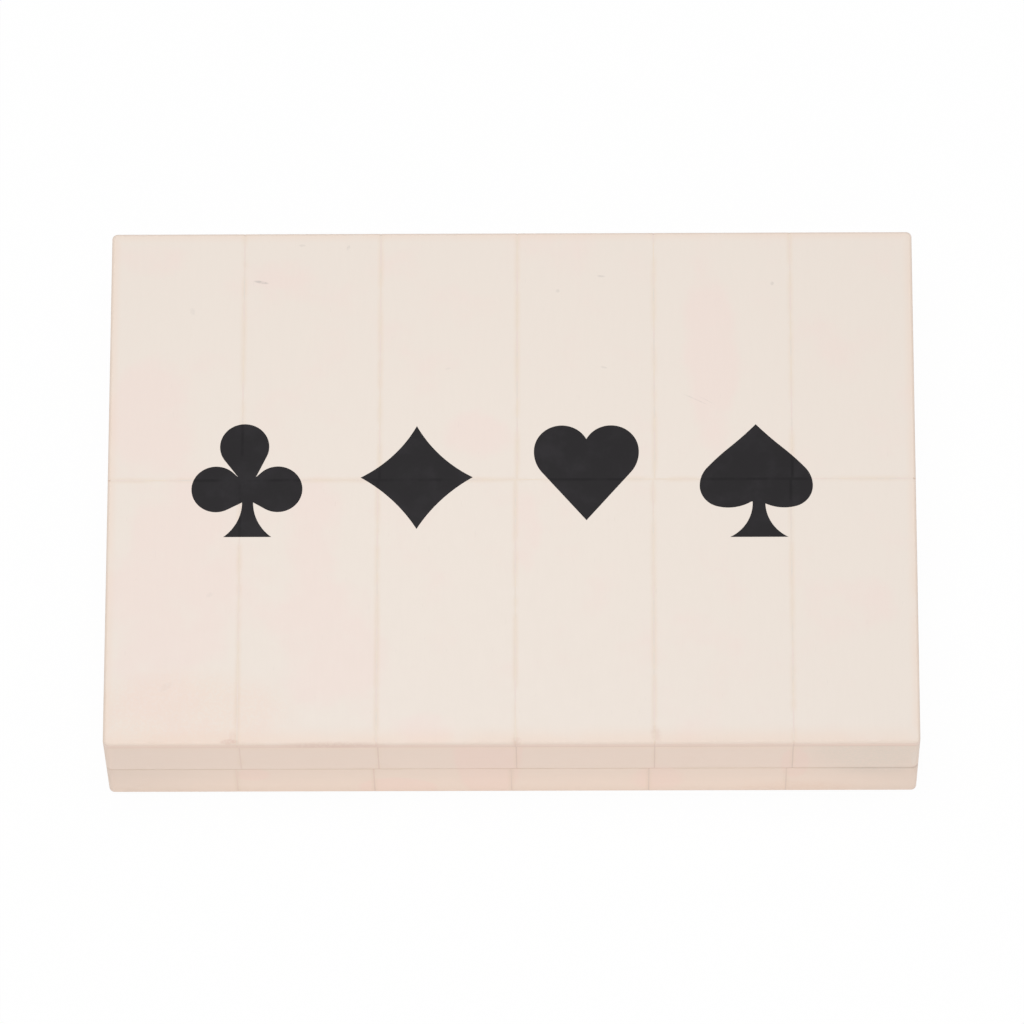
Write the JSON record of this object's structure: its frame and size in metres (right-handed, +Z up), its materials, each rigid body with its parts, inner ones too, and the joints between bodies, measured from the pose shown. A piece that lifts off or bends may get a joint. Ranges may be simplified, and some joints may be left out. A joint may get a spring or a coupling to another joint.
{
  "type": "card and dice box",
  "caption": "Flat rectangular box for playing cards and dice, clad in cream bone tiles, with black card suits inlaid in its hinged lid and felt-lined wells inside.",
  "frame": {"origin": "centre of the underside of the base's felt pad, midway between the sides and between the front and back faces", "axes": "+X to the right along the width, -Y to the front, where the lid opens, +Z up"},
  "size_m": [0.19, 0.1333, 0.0327],
  "materials": {
    "bone": "satin-polished bone tile, cream with faint warm staining towards its edges",
    "joint_resin": "tan resin, sanded flush",
    "black_resin": "charcoal-black resin, satin, sanded flush",
    "wood": "stained and waxed hardwood",
    "black_felt": "short black felt",
    "brass": "satin brass"
  },
  "bodies": {
    "base": {"base_back_rail": "wood", "base_back_tiles": "bone", "base_felt_pad": "black_felt", "base_floor_panel": "wood", "base_front_rail": "wood", "base_front_tiles": "bone", "base_hinge_screws": "brass", "base_joint_filler": "joint_resin", "base_left_rail": "wood", "base_left_tiles": "bone", "base_right_rail": "wood", "base_right_tiles": "bone", "dice_lining": "black_felt", "left_card_lining": "black_felt", "left_divider": "wood", "left_hinge_base_leaf": "brass", "left_hinge_pin": "brass", "right_card_lining": "black_felt", "right_divider": "wood", "right_hinge_base_leaf": "brass", "right_hinge_pin": "brass"},
    "lid": {"club_inlay": "black_resin", "diamond_inlay": "black_resin", "heart_inlay": "black_resin", "left_hinge_lid_leaf": "brass", "lid_back_rail": "wood", "lid_back_tiles": "bone", "lid_front_rail": "wood", "lid_front_tiles": "bone", "lid_hinge_screws": "brass", "lid_joint_filler": "joint_resin", "lid_left_rail": "wood", "lid_left_tiles": "bone", "lid_lining": "black_felt", "lid_panel": "wood", "lid_right_rail": "wood", "lid_right_tiles": "bone", "right_hinge_lid_leaf": "brass", "spade_inlay": "black_resin", "top_tile_back_1": "bone", "top_tile_back_2": "bone", "top_tile_back_3": "bone", "top_tile_back_4": "bone", "top_tile_back_5": "bone", "top_tile_back_6": "bone", "top_tile_front_1": "bone", "top_tile_front_2": "bone", "top_tile_front_3": "bone", "top_tile_front_4": "bone", "top_tile_front_5": "bone", "top_tile_front_6": "bone"}
  },
  "joints": [
    {"name": "lid_hinge", "type": "hinge", "parent": "base", "child": "lid", "pos_m": [0, 0.0668, 0.0165], "axis": [-1, 0, 0], "range_deg": [0, 180]}
  ]
}
